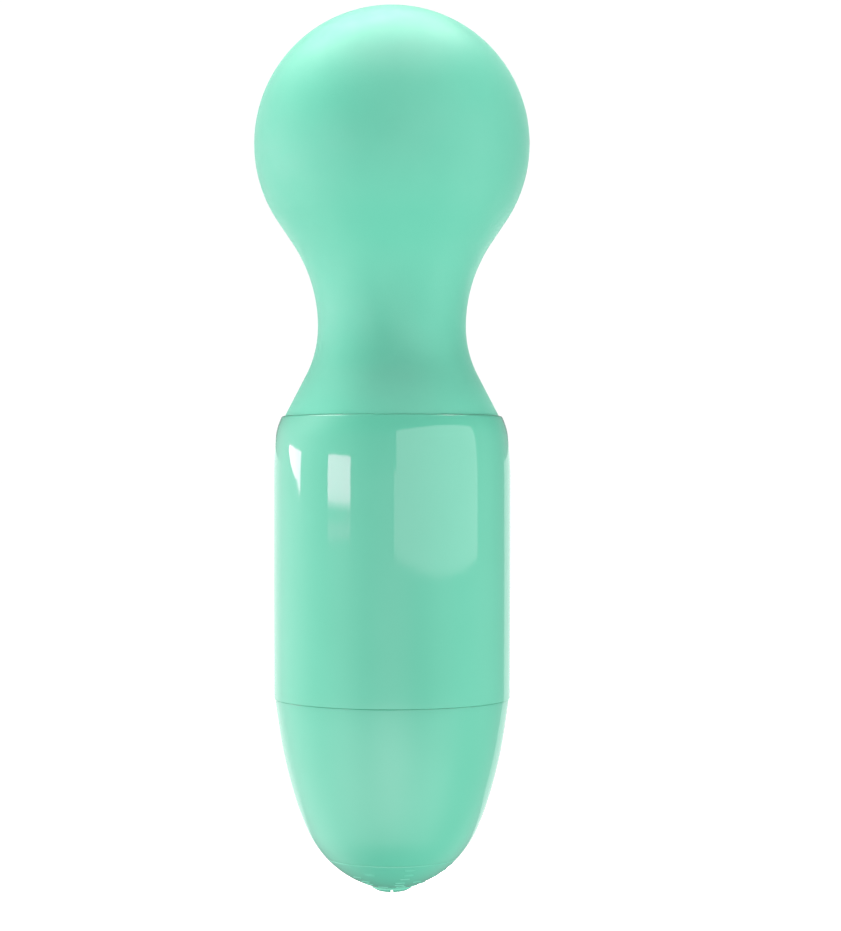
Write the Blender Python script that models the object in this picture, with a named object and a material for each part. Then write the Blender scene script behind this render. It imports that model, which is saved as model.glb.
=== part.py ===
"""Small cordless wand massager: a ball head on a soft neck, a sleeved handle and a pull-off base.

The part stands along +Z with its origin at the bottom centre and its front towards -Y.
Lengths in this file are millimetres and are turned into metres as the meshes are made.
"""

import math

import bmesh
import bpy
from mathutils import Matrix, Vector

MM = 0.001

# Driving dimensions of the outside.
TOTAL_LENGTH = 120.0
BALL_RADIUS = 18.73
BALL_Z = TOTAL_LENGTH - BALL_RADIUS
BALL_END_DEG = 34.0
BALL_TO_NECK_RUN = 3.5
UPPER_NECK_RADIUS = 20.4
LOWER_NECK_RADIUS = 14.4
FLARE_DEG = 27.4
UPPER_SEAM_Z = 64.4
LOWER_SEAM_Z = 26.2
SLEEVE_RADIUS = 16.14
SLEEVE_FOOT_RADIUS = 16.09
CAP_RADIUS = 15.97
CAP_TAPER_DEG = 8.0
CAP_TAPER_RUN = 3.5
CAP_ARCS = ((63.0, 17.1), (40.0, 24.0), (14.3, 40.7))
BUTTON_ARC_RADIUS = 14.0
BUTTON_MARK_RADIUS = 2.65

# Walls, clearances and travels.
GAP = 0.3
SEGMENTS = 32
SILICONE_WALL = 2.2
FRAME_RADIUS = BALL_RADIUS - SILICONE_WALL - 0.35
FRAME_WALL = 1.6
CHASSIS_RADIUS = 13.9
CHASSIS_BORE = 12.4
SLEEVE_BORE = CHASSIS_RADIUS + GAP
LIP_BORE = 13.3
SPIGOT_RADIUS = 12.7
SPIGOT_BORE = 10.6
SPIGOT_END_Z = 19.3
FLOOR_TOP_Z = 20.8
CAP_BORE = SPIGOT_RADIUS + GAP
BUTTON_RADIUS = 9.05
NECK_PIVOT_Z = 76.5

# Motor.
MOTOR_RADIUS = 7.0
MOTOR_FLAT = 5.8
MOTOR_BOTTOM_Z = 90.5
MOTOR_TOP_Z = 106.5
SHAFT_RADIUS = 1.0
WEIGHT_RADIUS = 6.0

# Screws that close the two clamshells: (x, z) of each axis, which runs along Y.
HEAD_SCREW_X = 11.7
CHASSIS_SCREW_X = 10.2
CHASSIS_SCREW_ZS = (31.5, 56.5)
SCREW_SEAT = 0.3

# End board, under which the switch, the lamp and the charging socket sit.
END_BOARD_Z = 21.2
SOCKET_Y = 5.2
LAMP_XY = (-5.2, -4.6)


def clear_scene():
    for obj in list(bpy.data.objects):
        bpy.data.objects.remove(obj, do_unlink=True)


def material(name, colour, roughness, metallic=0.0):
    made = bpy.data.materials.get(name)
    if made:
        return made
    made = bpy.data.materials.new(name)
    made.use_nodes = True
    shader = made.node_tree.nodes["Principled BSDF"]
    shader.inputs["Base Color"].default_value = (*colour, 1.0)
    shader.inputs["Roughness"].default_value = roughness
    shader.inputs["Metallic"].default_value = metallic
    return made


def silicone():
    return material("mint_silicone", (0.20, 0.68, 0.48), 0.55)


def gloss_abs():
    return material("mint_gloss_plastic", (0.18, 0.66, 0.46), 0.08)


def inner_abs():
    return material("white_inner_plastic", (0.78, 0.79, 0.77), 0.45)


def black_plastic():
    return material("black_plastic", (0.03, 0.03, 0.03), 0.5)


def steel():
    return material("steel", (0.62, 0.63, 0.65), 0.3, 1.0)


def nickel():
    return material("nickel_plate", (0.70, 0.68, 0.64), 0.25, 1.0)


def copper():
    return material("copper", (0.75, 0.38, 0.22), 0.35, 1.0)


def brass():
    return material("brass", (0.75, 0.56, 0.25), 0.3, 1.0)


def ferrite():
    return material("ferrite_magnet", (0.06, 0.06, 0.065), 0.6)


def board_green():
    return material("circuit_board", (0.02, 0.16, 0.08), 0.4)


def black_rubber():
    return material("black_rubber", (0.02, 0.02, 0.02), 0.8)


def foil():
    return material("battery_foil", (0.72, 0.73, 0.75), 0.35, 0.8)


def foam():
    return material("grey_foam", (0.25, 0.26, 0.28), 0.95)


def red_lead():
    return material("red_lead", (0.55, 0.02, 0.02), 0.5)


def black_lead():
    return material("black_lead", (0.02, 0.02, 0.02), 0.5)


def lamp_lens():
    return material("lamp_lens", (0.85, 0.87, 0.85), 0.2)


# Bodies: one empty for each, on its joint's axis.


def body(name, z=0.0, parent=None):
    empty = bpy.data.objects.new(name + "_axis", None)
    empty.empty_display_size = 0.01
    bpy.context.collection.objects.link(empty)
    empty.location = (0, 0, z * MM)
    if parent:
        empty.parent = parent
        empty.location -= world_place(parent)
    return empty


def world_place(obj):
    place = obj.location.copy()
    while obj.parent:
        obj = obj.parent
        place += obj.location
    return place


def add_object(name, bm, mat, owner, at=(0, 0, 0), turn=(0, 0, 0), sharp_deg=35.0):
    """Makes an object of a bmesh that is in millimetres round its own origin, and puts it at a point."""
    bmesh.ops.scale(bm, vec=(MM, MM, MM), verts=bm.verts)
    bmesh.ops.recalc_face_normals(bm, faces=bm.faces)
    mesh = bpy.data.meshes.new(name)
    bm.to_mesh(mesh)
    bm.free()
    mesh.shade_smooth()
    mesh.set_sharp_from_angle(angle=math.radians(sharp_deg))
    obj = bpy.data.objects.new(name, mesh)
    bpy.context.collection.objects.link(obj)
    if mat:
        mesh.materials.append(mat)
    obj.location = Vector(at) * MM
    obj.rotation_euler = turn
    if owner:
        obj.parent = owner
        obj.location -= world_place(owner)
    return obj


def cut(target, cutter, operation="DIFFERENCE"):
    """Adds a Boolean and turns its tool object into a hidden helper."""
    cutter.hide_render = True
    cutter.display_type = "WIRE"
    boolean = target.modifiers.new(operation.title() + "_" + cutter.name, "BOOLEAN")
    boolean.operation = operation
    boolean.object = cutter
    boolean.solver = "EXACT"


# Outlines in the half plane (r, z).


def arc(centre, radius, start_deg, end_deg, steps):
    """Points of an arc, where 0 degrees points outwards and 90 degrees points up."""
    points = []
    for step in range(steps + 1):
        angle = math.radians(start_deg + (end_deg - start_deg) * step / steps)
        points.append((centre[0] + radius * math.cos(angle), centre[1] + radius * math.sin(angle)))
    return points


def drop(point, run, lean_deg):
    """The point reached after a straight run downwards that leans in towards the axis."""
    lean = math.radians(lean_deg)
    return (point[0] - run * math.sin(lean), point[1] - run * math.cos(lean))


def convex_drop(point, radius, start_deg, end_deg, steps):
    """Points of a bulging arc that goes down and in, its lean growing from start to end."""
    start = math.radians(start_deg)
    centre = (point[0] - radius * math.cos(start), point[1] + radius * math.sin(start))
    return arc(centre, radius, -start_deg, -end_deg, steps)[1:]


def head_outline(steps_ball, steps_neck, bottom_z):
    """The ball, the waisted neck and the flare, from the top pole down to bottom_z."""
    points = arc((0, BALL_Z), BALL_RADIUS, 90, -BALL_END_DEG, steps_ball)
    points[0] = (0.0, TOTAL_LENGTH)
    points.append(drop(points[-1], BALL_TO_NECK_RUN, BALL_END_DEG))
    lean = math.radians(BALL_END_DEG)
    centre_r = points[-1][0] + UPPER_NECK_RADIUS * math.cos(lean)
    centre_z = points[-1][1] - UPPER_NECK_RADIUS * math.sin(lean)
    start_deg = 180 - BALL_END_DEG
    points += arc((centre_r, centre_z), UPPER_NECK_RADIUS, start_deg, 180, steps_neck)[1:]
    waist_r = centre_r - UPPER_NECK_RADIUS
    centre_r = waist_r + LOWER_NECK_RADIUS
    end_deg = 180 + FLARE_DEG
    points += arc((centre_r, centre_z), LOWER_NECK_RADIUS, 180, end_deg, steps_neck // 2 + 1)[1:]
    last_r, last_z = points[-1]
    points.append((last_r + (last_z - bottom_z) * math.tan(math.radians(FLARE_DEG)), bottom_z))
    return points


def offset_in(points, distance):
    """The same outline moved towards the axis, square to itself; it runs from the top down."""
    moved = []
    for index, (r, z) in enumerate(points):
        before = points[max(index - 1, 0)]
        after = points[min(index + 1, len(points) - 1)]
        along_r = after[0] - before[0]
        along_z = after[1] - before[1]
        length = math.hypot(along_r, along_z)
        moved.append((r + along_z / length * distance, z - along_r / length * distance))
    if points[0][0] == 0:
        moved[0] = (0.0, points[0][1] - distance)
    return moved


def cap_outline(steps):
    """The outside of the base from the lower seam to the edge of the button's hole."""
    points = [(CAP_RADIUS, LOWER_SEAM_Z), drop((CAP_RADIUS, LOWER_SEAM_Z), CAP_TAPER_RUN, CAP_TAPER_DEG)]
    lean = CAP_TAPER_DEG
    for radius, next_lean in CAP_ARCS:
        points += convex_drop(points[-1], radius, lean, next_lean, steps)
        lean = next_lean
    return points


def button_outline(steps):
    """The button's dome, which carries on from the base's outline, out to the raised mark."""
    start = cap_outline(1)[-1]
    start_deg = CAP_ARCS[-1][1]
    end_cos = math.cos(math.radians(start_deg)) - (start[0] - BUTTON_MARK_RADIUS) / BUTTON_ARC_RADIUS
    edge_cos = math.cos(math.radians(start_deg)) - (start[0] - BUTTON_RADIUS) / BUTTON_ARC_RADIUS
    centre = (
        start[0] - BUTTON_ARC_RADIUS * math.cos(math.radians(start_deg)),
        start[1] + BUTTON_ARC_RADIUS * math.sin(math.radians(start_deg)),
    )
    edge_deg = math.degrees(math.acos(edge_cos))
    end_deg = math.degrees(math.acos(end_cos))
    return arc(centre, BUTTON_ARC_RADIUS, -edge_deg, -end_deg, steps)


def sleeve_outline():
    """The outside of the sleeve from its top rim, over the shoulder, to its foot."""
    bend_deg = 6.8
    rim_deg = 25.3
    broad = 47.0
    tight = 9.0
    rim = 0.4
    rising = arc((SLEEVE_RADIUS - broad, 0), broad, 0, bend_deg, 2)
    last_r, last_z = rising[-1]
    bend = math.radians(bend_deg)
    centre = (last_r - tight * math.cos(bend), last_z - tight * math.sin(bend))
    rising += arc(centre, tight, bend_deg, rim_deg, 3)[1:]
    last_r, last_z = rising[-1]
    turn = math.radians(rim_deg)
    centre = (last_r - rim * math.cos(turn), last_z - rim * math.sin(turn))
    rising += arc(centre, rim, rim_deg, 90, 2)[1:]
    lift = UPPER_SEAM_Z - rising[-1][1]
    rising = [(r, z + lift) for r, z in rising]
    foot_z = LOWER_SEAM_Z + 0.15
    foot = [(SLEEVE_FOOT_RADIUS, foot_z + 1.6), (SLEEVE_FOOT_RADIUS, foot_z + 0.25)]
    foot.append((SLEEVE_FOOT_RADIUS - 0.25, foot_z))
    return list(reversed(rising)) + foot


# Mesh makers, all in millimetres.


def turned(outline, closed, segments=SEGMENTS):
    """Spins an outline of (r, z) points round Z. A closed outline is a ring's section."""
    bm = bmesh.new()
    verts = [bm.verts.new((r, 0, z)) for r, z in outline]
    edges = [bm.edges.new(pair) for pair in zip(verts, verts[1:])]
    if closed:
        edges.append(bm.edges.new((verts[-1], verts[0])))
    bmesh.ops.spin(
        bm,
        geom=verts + edges,
        axis=(0, 0, 1),
        cent=(0, 0, 0),
        steps=segments,
        angle=2 * math.pi,
    )
    bmesh.ops.remove_doubles(bm, verts=bm.verts, dist=1e-4)
    return bm


def keep_half(bm, side):
    """Keeps the front (-1) or the rear (+1) of a closed shell and closes the cut beside y = 0."""
    everything = list(bm.verts) + list(bm.edges) + list(bm.faces)
    bmesh.ops.bisect_plane(
        bm,
        geom=everything,
        dist=1e-5,
        plane_co=(0, side * GAP / 2, 0),
        plane_no=(0, side, 0),
        clear_inner=True,
    )
    open_edges = [edge for edge in bm.edges if edge.is_boundary]
    bmesh.ops.holes_fill(bm, edges=open_edges, sides=0)
    bmesh.ops.triangulate(bm, faces=[face for face in bm.faces if len(face.verts) > 4])
    return bm


def block(size, bevel=0.0):
    bm = bmesh.new()
    bmesh.ops.create_cube(bm, size=1.0)
    bmesh.ops.scale(bm, vec=size, verts=bm.verts)
    if bevel:
        bmesh.ops.bevel(bm, geom=bm.edges[:], offset=bevel, segments=1, affect="EDGES")
    return bm


def moved(bm, by):
    bmesh.ops.translate(bm, vec=by, verts=bm.verts)
    return bm


def rod(radius, low, high, segments=16):
    """A cylinder along Z."""
    return turned([(0, high), (radius, high), (radius, low), (0, low)], False, segments)


def lofted(loops, closed):
    """Skins loops of equal length in turn. It joins the last to the first, or caps both ends."""
    bm = bmesh.new()
    rings = [[bm.verts.new(point) for point in loop] for loop in loops]
    pairs = list(zip(rings, rings[1:]))
    if closed:
        pairs.append((rings[-1], rings[0]))
    count = len(rings[0])
    for low, high in pairs:
        for i in range(count):
            j = (i + 1) % count
            bm.faces.new((low[i], low[j], high[j], high[i]))
    if not closed:
        bm.faces.new(rings[0])
        bm.faces.new(rings[-1])
    return bm


def tube(name, points, radius, mat, owner, sides=2):
    """A wire along a list of points, with filled ends."""
    curve = bpy.data.curves.new(name, "CURVE")
    curve.dimensions = "3D"
    curve.bevel_depth = radius * MM
    curve.bevel_resolution = sides
    curve.use_fill_caps = True
    spline = curve.splines.new("POLY")
    spline.points.add(len(points) - 1)
    place = world_place(owner)
    for spot, point in zip(spline.points, points):
        spot.co = (*(Vector(point) * MM - place), 1.0)
    curve.materials.append(mat)
    obj = bpy.data.objects.new(name, curve)
    bpy.context.collection.objects.link(obj)
    obj.parent = owner
    return obj


def smooth_route(knots, count):
    """Evenly numbered points on a smooth Catmull-Rom curve through the knots."""
    spots = [Vector(knot) for knot in knots]
    padded = [spots[0] * 2 - spots[1], *spots, spots[-1] * 2 - spots[-2]]
    route = []
    spans = len(spots) - 1
    for step in range(count + 1):
        where = min(step / count * spans, spans - 1e-9)
        index = int(where)
        t = where - index
        a, b, c, d = padded[index : index + 4]
        bend = 2 * a - 5 * b + 4 * c - d
        twist = 3 * b - a - 3 * c + d
        route.append(0.5 * (2 * b + (c - a) * t + bend * t**2 + twist * t**3))
    return route


def helix(radius, low, high, turns, per_turn):
    """Points of a coil spring, with its end turns closed up."""
    total = int(turns * per_turn)
    points = []
    for step in range(total + 1):
        share = step / total
        eased = share - math.sin(2 * math.pi * share) / (2 * math.pi)
        angle = 2 * math.pi * turns * share
        z = low + (high - low) * (0.35 * eased + 0.65 * share)
        points.append((radius * math.cos(angle), radius * math.sin(angle), z))
    return points


def along_y(steps, x, z, segments=10):
    """A stepped cylinder along Y: (radius, y) pairs from its near end to its far end."""
    outline = [(0, steps[-1][1])] + [(radius, y) for radius, y in reversed(steps)] + [(0, steps[0][1])]
    bm = turned(outline, False, segments)
    bmesh.ops.rotate(bm, cent=(0, 0, 0), matrix=Matrix.Rotation(-math.pi / 2, 3, "X"), verts=bm.verts)
    bmesh.ops.translate(bm, vec=(x, 0, z), verts=bm.verts)
    return bm


def gathered(meshes):
    """One mesh of several separate ones, for a tool that cuts in many places at once."""
    whole = bmesh.new()
    for bm in meshes:
        piece = bpy.data.meshes.new("piece")
        bm.to_mesh(piece)
        bm.free()
        whole.from_mesh(piece)
        bpy.data.meshes.remove(piece)
    return whole


def bosses_with_holes(shell, side, spots, reach, radii, other_cutters=()):
    """Screw bosses along Y on one clamshell half, with a bore and, in front, a way in for the head."""
    boss_radius, hole_radius, access_radius = radii
    set_back = 0.2
    near, far = sorted((side * (GAP / 2 + set_back), side * reach))
    bosses = [along_y([(boss_radius, near), (boss_radius, far)], x, z) for x, z in spots]
    cut(shell, add_object("bosses_" + shell.name, gathered(bosses), None, None), "UNION")
    if side < 0:
        seat = SCREW_SEAT - reach
        steps = [(access_radius, -reach - 12.0), (access_radius, seat)]
        steps += [(hole_radius, seat), (hole_radius, 1.0)]
    else:
        steps = [(hole_radius, -1.0), (hole_radius, reach - 0.7)]
    cutters = [along_y(steps, x, z) for x, z in spots] + list(other_cutters)
    cut(shell, add_object("bores_" + shell.name, gathered(cutters), None, None))


def screw(name, owner, x, z, head_y, head_radius, shank_radius, length):
    """A pan-head screw along +Y with a hex recess, its head's seat at head_y."""
    head = 1.5
    outline = [(0, -head * 0.45), (head_radius * 0.4, -head * 0.45), (head_radius * 0.45, -head)]
    outline += [(head_radius * 0.85, -head), (head_radius, -head * 0.6), (head_radius, 0)]
    outline += [(shank_radius, 0), (shank_radius, length - 0.8), (0, length)]
    bm = turned(outline, False, 10)
    bmesh.ops.rotate(bm, cent=(0, 0, 0), matrix=Matrix.Rotation(-math.pi / 2, 3, "X"), verts=bm.verts)
    return add_object(name, bm, steel(), owner, at=(x, head_y, z))


# The head: soft cover, clamshell frame and screws.


def make_head_cover(owner):
    foot_z = UPPER_SEAM_Z + GAP
    outer = head_outline(10, 4, foot_z)
    lip_foot = UPPER_SEAM_Z - 1.5
    bead = [(LIP_BORE - GAP, foot_z), (LIP_BORE - GAP, lip_foot - GAP)]
    bead += [(SLEEVE_BORE - GAP, lip_foot - GAP), (SLEEVE_BORE - GAP, 61.0), (12.0, 61.0)]
    inner = offset_in(head_outline(6, 3, foot_z + 0.25), SILICONE_WALL)
    outline = outer + bead + list(reversed(inner))
    add_object("head_cover", turned(outline, False), silicone(), owner)


def frame_outline():
    """The clamshell's section from the outer top pole, round the spring cup, to the inner top pole."""
    inner_radius = FRAME_RADIUS - FRAME_WALL
    rib_height = 1.2
    rib_bore = MOTOR_RADIUS + 1.6
    floor_z = 88.5

    def wall_at(z):
        return (math.sqrt(inner_radius**2 - (z - BALL_Z) ** 2), z)

    outline = arc((0, BALL_Z), FRAME_RADIUS, 90, -56.3, 7)
    outline[0] = (0.0, BALL_Z + FRAME_RADIUS)
    outline += [(7.6, 86.9), (7.6, 83.5), (6.4, 83.5), (6.4, 87.0), (3.0, 87.0), (3.0, floor_z)]
    outline += [wall_at(floor_z), wall_at(91.2)]
    for rib_z, above_deg in ((93.8, (-12, 6)), (105.0, (34, 90))):
        rib_top = rib_z + rib_height
        outline += [wall_at(rib_z), (rib_bore, rib_z), (rib_bore, rib_top), wall_at(rib_top)]
        outline += arc((0, BALL_Z), inner_radius, *above_deg, 3)
    outline[-1] = (0.0, BALL_Z + inner_radius)
    return outline


def make_head_frame(owner):
    spots = ((-HEAD_SCREW_X, BALL_Z), (HEAD_SCREW_X, BALL_Z))
    reach = 6.9
    for name, side in (("head_frame_front", -1), ("head_frame_rear", 1)):
        half = keep_half(turned(frame_outline(), False), side)
        shell = add_object(name, half, inner_abs(), owner)
        bosses_with_holes(shell, side, spots, reach, (2.9, 1.2, 2.1))
    for name, x in (("head_screw_left", -HEAD_SCREW_X), ("head_screw_right", HEAD_SCREW_X)):
        screw(name, owner, x, BALL_Z, SCREW_SEAT - reach - GAP, 1.75, 0.85, 12.4)


# The motor and what it turns.


def flat_sided(radius, flat, low, count=24):
    """A loop round a circle whose front and rear are cut flat."""
    loop = []
    for step in range(count):
        angle = 2 * math.pi * (step + 0.5) / count
        x = radius * math.cos(angle)
        y = max(-flat, min(flat, radius * math.sin(angle)))
        loop.append((x, y, low))
    return loop


def make_motor_shell(owner):
    wall = 0.7
    hole = 2.75
    top = MOTOR_TOP_Z
    loops = [
        flat_sided(MOTOR_RADIUS, MOTOR_FLAT, MOTOR_BOTTOM_Z + 1.8),
        flat_sided(MOTOR_RADIUS, MOTOR_FLAT, top),
        flat_sided(hole, hole, top),
        flat_sided(hole, hole, top - wall),
        flat_sided(MOTOR_RADIUS - wall, MOTOR_FLAT - wall, top - wall),
        flat_sided(MOTOR_RADIUS - wall, MOTOR_FLAT - wall, MOTOR_BOTTOM_Z + 1.8),
    ]
    add_object("motor_can", lofted(loops, True), nickel(), owner)
    bore = 1.4
    loops = [
        flat_sided(MOTOR_RADIUS, MOTOR_FLAT, MOTOR_BOTTOM_Z),
        flat_sided(MOTOR_RADIUS, MOTOR_FLAT, MOTOR_BOTTOM_Z + 1.5),
        flat_sided(bore, bore, MOTOR_BOTTOM_Z + 1.5),
        flat_sided(bore, bore, MOTOR_BOTTOM_Z),
    ]
    add_object("motor_end_cap", lofted(loops, True), black_plastic(), owner)
    bushing = [(1.3, top - 1.2), (2.4, top - 1.2), (2.4, top + 0.8), (1.3, top + 0.8)]
    add_object("motor_bushing", turned(bushing, True, 16), brass(), owner)
    rubber = [(7.3, 91.2), (8.3, 91.2), (8.3, 106.2), (7.3, 106.2)]
    add_object("motor_sleeve", turned(rubber, True, 28), black_rubber(), owner)
    for name, middle in (("motor_magnet_left", 180), ("motor_magnet_right", 0)):
        section = [(5.1, 93.4), (6.0, 93.4), (6.0, 103.4), (5.1, 103.4)]
        half_arc = 46
        loops = []
        for step in range(7):
            angle = math.radians(middle - half_arc + 2 * half_arc * step / 6)
            loops.append([(r * math.cos(angle), r * math.sin(angle), z) for r, z in section])
        add_object(name, lofted(loops, False), ferrite(), owner)
    for name, x in (("motor_terminal_left", -2.2), ("motor_terminal_right", 2.2)):
        add_object(name, block((0.5, 1.8, 1.0)), brass(), owner, at=(x, 0, 89.7))


def make_rotor(owner):
    add_object("motor_shaft", rod(SHAFT_RADIUS, 90.0, 113.6), steel(), owner)
    bore = SHAFT_RADIUS + GAP
    poles = 3
    outline = []
    inner = []
    for pole in range(poles):
        middle = 2 * math.pi * pole / poles
        face = ((-48, 4.6), (-24, 4.75), (0, 4.8), (24, 4.75), (48, 4.6))
        for offset_deg, r in face + ((44, 3.6), (60, 2.2), (76, 3.6)):
            angle = middle + math.radians(offset_deg)
            outline.append((r * math.cos(angle), r * math.sin(angle)))
            inner.append((bore * math.cos(angle), bore * math.sin(angle)))
    loops = [[(x, y, 94.4) for x, y in outline], [(x, y, 102.4) for x, y in outline]]
    loops += [[(x, y, 102.4) for x, y in inner], [(x, y, 94.4) for x, y in inner]]
    add_object("armature", lofted(loops, True), copper(), owner)
    ring = [(bore, 92.3), (2.3, 92.3), (2.3, 94.1), (bore, 94.1)]
    add_object("commutator", turned(ring, True, 16), brass(), owner)
    low, high = 108.0, 112.8
    count = 18
    loops = [[], [], [], []]
    for step in range(count):
        angle = 2 * math.pi * step / count
        reach = WEIGHT_RADIUS if 0.01 < angle < math.pi - 0.01 else 2.3
        outside = (reach * math.cos(angle), reach * math.sin(angle))
        inside = (bore * math.cos(angle), bore * math.sin(angle))
        for loop, (x, y), z in zip(loops, (outside, outside, inside, inside), (low, high, high, low)):
            loop.append((x, y, z))
    add_object("eccentric_weight", lofted(loops, True), steel(), owner)


def make_neck(owner_head):
    wire = 0.65
    coil = helix(5.3, 66.8 + wire, 86.7 - wire, 6.5, 14)
    tube("neck_spring", coil, wire, steel(), owner_head, sides=0)
    leads = (("motor_lead_positive", -1, red_lead()), ("motor_lead_negative", 1, black_lead()))
    for name, side, mat in leads:
        knots = [(side * 1.6, -6.4, 57.6), (side * 1.6, -6.0, 60.4), (side * 1.5, -2.6, 63.6)]
        knots += [(side * 1.4, -0.2, 67.0), (side * 1.5, 0.7, 72.0), (side * 1.3, -0.5, 78.0)]
        knots += [(side * 1.5, 0.3, 84.0), (side * 2.0, 0, 87.4), (side * 2.2, 0, 88.9)]
        tube(name, smooth_route(knots, 18), 0.45, mat, owner_head, sides=1)


# The handle: sleeve, clamshell chassis, seal, screws.


def make_sleeve(owner):
    outline = [(LIP_BORE, UPPER_SEAM_Z)] + sleeve_outline()
    outline += [(SLEEVE_BORE, LOWER_SEAM_Z + 0.15), (SLEEVE_BORE, UPPER_SEAM_Z - 1.5)]
    outline += [(LIP_BORE, UPPER_SEAM_Z - 1.5)]
    add_object("handle_sleeve", turned(outline, True), gloss_abs(), owner)


def chassis_outline():
    """From the inner middle of the floor, up the inside, over the spring seat and down the outside."""
    shoulder_z = 60.7
    inside = [(0, FLOOR_TOP_Z), (SPIGOT_BORE, FLOOR_TOP_Z), (SPIGOT_BORE, 27.0), (CHASSIS_BORE, 28.6)]
    inside += [(CHASSIS_BORE, shoulder_z - 1.5), (10.2, shoulder_z - 1.5), (10.2, 63.2), (9.3, 65.0)]
    seat = [(3.4, 65.0), (3.4, 66.5), (6.4, 66.5), (6.4, 69.5), (9.0, 69.5)]
    outside = [(11.7, 63.9), (11.7, shoulder_z), (CHASSIS_RADIUS, shoulder_z)]
    outside += [(CHASSIS_RADIUS, LOWER_SEAM_Z + 0.7), (SPIGOT_RADIUS, LOWER_SEAM_Z + 0.7)]
    groove = [(SPIGOT_RADIUS, 23.2), (11.65, 23.2), (11.65, 21.8), (SPIGOT_RADIUS, 21.8)]
    lead_in = 0.7
    foot = [(SPIGOT_RADIUS, SPIGOT_END_Z + lead_in), (SPIGOT_RADIUS - lead_in, SPIGOT_END_Z)]
    return inside + seat + outside + groove + foot + [(0, SPIGOT_END_Z)]


def make_chassis(owner):
    spots = [(x, z) for z in CHASSIS_SCREW_ZS for x in (-CHASSIS_SCREW_X, CHASSIS_SCREW_X)]
    reach = 5.8
    middle_z = (SPIGOT_END_Z + FLOOR_TOP_Z) / 2
    for name, side in (("chassis_front", -1), ("chassis_rear", 1)):
        shell = add_object(name, keep_half(turned(chassis_outline(), False), side), inner_abs(), owner)
        through = [moved(block((5.6, 5.6, 4.0)), (0, 0, middle_z))]
        if side < 0:
            through.append(moved(rod(1.4, -2.0, 2.0, 10), (*LAMP_XY, middle_z)))
        else:
            through.append(moved(block((9.6, 3.8, 4.0)), (0, SOCKET_Y, middle_z)))
        bosses_with_holes(shell, side, spots, reach, (2.15, 1.1, 1.85), through)
    for index, (x, z) in enumerate(spots):
        screw(f"chassis_screw_{index + 1}", owner, x, z, SCREW_SEAT - reach - GAP, 1.5, 0.75, 10.4)
    ring = arc((12.35, 22.5), 0.4, 0, 300, 5)
    add_object("o_ring_seal", turned(ring, True), black_rubber(), owner)


# The electronics inside the handle.


def make_battery(owner):
    add_object("battery_cell", block((18.0, 6.5, 20.0), 0.7), foil(), owner, at=(0, 1.0, 44.5))
    add_object("battery_foam_pad", block((14.0, 1.8, 16.0)), foam(), owner, at=(0, 5.5, 44.5))
    add_object("battery_protection_board", block((12.0, 5.0, 0.8)), board_green(), owner, at=(0, 1.0, 55.3))
    leads = (("battery_lead_positive", -1, red_lead()), ("battery_lead_negative", 1, black_lead()))
    for name, side, mat in leads:
        knots = [(side * 4.2, 1.0, 56.5), (side * 4.3, 0.6, 58.6), (side * 4.4, -2.6, 60.3)]
        knots += [(side * 4.6, -6.2, 59.6), (side * 4.7, -7.3, 57.0), (side * 4.7, -7.3, 53.9)]
        tube(name, smooth_route(knots, 12), 0.45, mat, owner, sides=1)


def make_main_board(owner):
    board_y = -4.7
    face_y = board_y - 0.5 - GAP
    add_object("main_board", block((15.0, 1.0, 30.5)), board_green(), owner, at=(0, board_y, 43.0))
    chips = (
        ("microcontroller", (5.0, 0.9, 5.0), (-1.0, 38.0), black_plastic()),
        ("motor_driver_chip", (3.0, 1.1, 5.0), (3.6, 47.0), black_plastic()),
        ("charge_controller_chip", (3.0, 1.0, 3.0), (-4.6, 46.6), black_plastic()),
        ("battery_connector", (11.0, 3.4, 3.0), (0.0, 52.0), lamp_lens()),
    )
    for name, size, (x, z), mat in chips:
        add_object(name, block(size), mat, owner, at=(x, face_y - size[1] / 2, z))
    add_object("board_header", block((8.0, 2.4, 3.6)), black_plastic(), owner, at=(0, -4.4, 24.7))


def make_end_board(owner):
    thickness = 1.2
    top = END_BOARD_Z + thickness
    board = add_object("end_board", rod(SPIGOT_BORE - 0.4, END_BOARD_Z, top, 28), board_green(), owner)
    slot = add_object("socket_slot", block((9.6, 3.8, 4.0)), None, None, (0, SOCKET_Y, top))
    cut(board, slot)
    add_object("charge_socket", socket_shell(), nickel(), owner, at=(0, SOCKET_Y, 0))
    lamp_z = END_BOARD_Z - GAP
    lamp = rod(1.0, lamp_z - 1.2, lamp_z, 12)
    add_object("status_lamp", lamp, lamp_lens(), owner, at=(*LAMP_XY, 0))


def rounded_slot(half_w, half_d, z):
    """A loop with half-round ends, as a reversible plug's socket has."""
    loop = []
    for side, start_deg in ((1, -90), (-1, 90)):
        centre = side * (half_w - half_d)
        for step in range(5):
            angle = math.radians(start_deg + 180 * step / 4)
            loop.append((centre + half_d * math.cos(angle), half_d * math.sin(angle), z))
    return loop


def socket_shell():
    """A shell that is open downwards and holds a contact tongue."""
    half_w, half_d = 4.4, 1.55
    bore_w, bore_d = half_w - 0.35, half_d - 0.35
    tongue_w, tongue_d = bore_w * 0.8, bore_d * 0.32
    mouth_z, tongue_z, bore_top_z, top_z = 19.6, 20.6, 25.4, 26.6
    outside = [rounded_slot(half_w, half_d, z) for z in (top_z, mouth_z)]
    bore = [rounded_slot(bore_w, bore_d, z) for z in (mouth_z, bore_top_z)]
    tongue = [rounded_slot(tongue_w, tongue_d, z) for z in (bore_top_z, tongue_z)]
    return lofted(outside + bore + tongue, False)


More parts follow.
